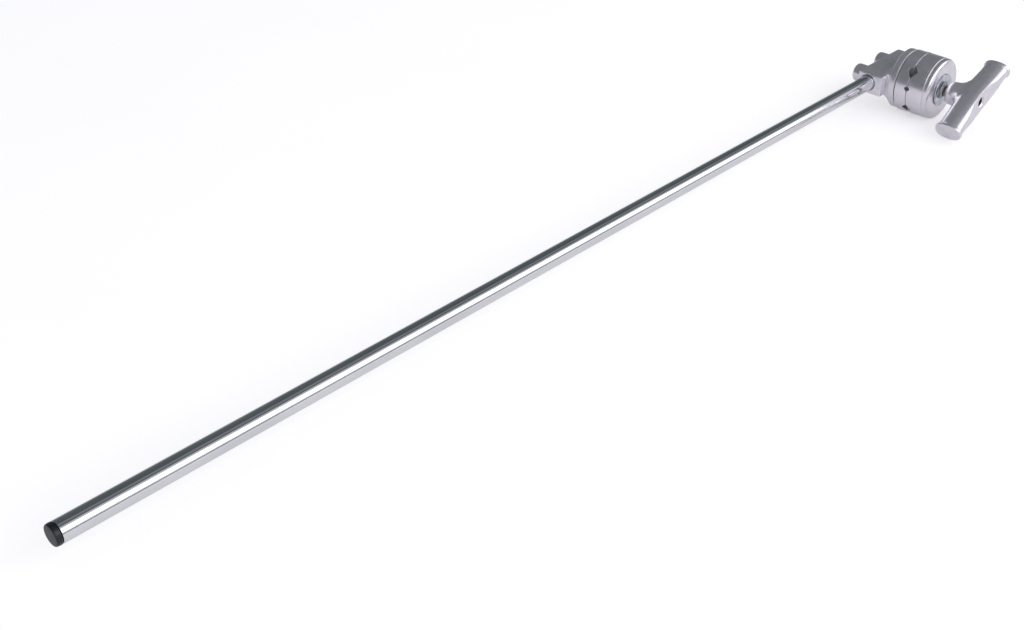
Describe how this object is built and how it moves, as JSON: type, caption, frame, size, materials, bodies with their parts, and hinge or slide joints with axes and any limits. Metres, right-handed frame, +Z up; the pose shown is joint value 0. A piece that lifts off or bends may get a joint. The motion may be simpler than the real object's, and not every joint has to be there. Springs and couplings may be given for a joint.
{
  "type": "extension arm with grip head",
  "caption": "Chromed tube arm with a fixed two-jaw grip head and a T handle that clamps rods and flags in V grooves.",
  "frame": {"origin": "centre of the end cap's flat outer face, on the tube's axis", "axes": "+X along the arm toward the head, +Z up, the T handle stands toward -Y"},
  "size_m": [1.0274, 0.1361, 0.0634],
  "materials": {
    "chrome": "bright chrome plate",
    "polished_aluminium": "turned and polished",
    "cast_aluminium": "cast and tumbled bright",
    "steel": "bright zinc plate",
    "zinc_steel": "yellow zinc plate",
    "black_steel": "black oxide",
    "bronze": "plain bronze",
    "fibre": "dark fibre",
    "black_plastic": "moulded black"
  },
  "bodies": {
    "arm": {"arm_tube": "chrome", "end_cap": "black_plastic", "arm_socket": "cast_aluminium", "arm_set_screw_near": "black_steel", "arm_set_screw_far": "black_steel", "socket_thread_bush": "steel", "bush_key_pin": "steel", "friction_washer": "fibre"},
    "inner_jaw": {"inner_jaw": "polished_aluminium", "jaw_dowel_1": "steel", "jaw_dowel_2": "steel", "jaw_spring": "steel"},
    "outer_jaw": {"outer_jaw": "polished_aluminium", "outer_jaw_bushing": "bronze", "bearing_race": "steel"},
    "bearing": {"bearing_cage": "bronze", "bearing_roller_01": "steel", "bearing_roller_02": "steel", "bearing_roller_03": "steel", "bearing_roller_04": "steel", "bearing_roller_05": "steel", "bearing_roller_06": "steel", "bearing_roller_07": "steel", "bearing_roller_08": "steel", "bearing_roller_09": "steel", "bearing_roller_10": "steel", "bearing_roller_11": "steel", "bearing_roller_12": "steel"},
    "washer": {"pressure_washer": "steel"},
    "handle": {"clamp_screw": "zinc_steel", "collar_nut": "steel", "stop_ring": "black_steel", "t_handle": "cast_aluminium", "handle_pin": "steel", "handle_screw": "black_steel"}
  },
  "joints": [
    {"name": "head_turn", "type": "hinge", "parent": "arm", "child": "inner_jaw", "pos_m": [0.976, -0.0403, 0], "axis": [0, -1, 0], "continuous": true},
    {"name": "jaw_open", "type": "slide", "parent": "inner_jaw", "child": "outer_jaw", "axis": [0, -1, 0], "range_m": [0, 0.01089], "deforming": ["jaw_spring"]},
    {"name": "bearing_turn", "type": "hinge", "parent": "outer_jaw", "child": "bearing", "pos_m": [0.976, -0.0403, 0], "axis": [0, -1, 0], "range_deg": [0, 1080]},
    {"name": "screw_travel", "type": "slide", "parent": "arm", "child": "washer", "axis": [0, -1, 0], "range_m": [0, 0.01089]},
    {"name": "handle_turn", "type": "hinge", "parent": "washer", "child": "handle", "pos_m": [0.976, -0.0403, 0], "axis": [0, -1, 0], "range_deg": [0, 2160]}
  ],
  "couplings": [
    {"joint": "jaw_open", "follows": "handle_turn", "m_per_rad": 0.00028875},
    {"joint": "screw_travel", "follows": "handle_turn", "m_per_rad": 0.00028875},
    {"joint": "bearing_turn", "follows": "handle_turn", "ratio": 0.5}
  ]
}
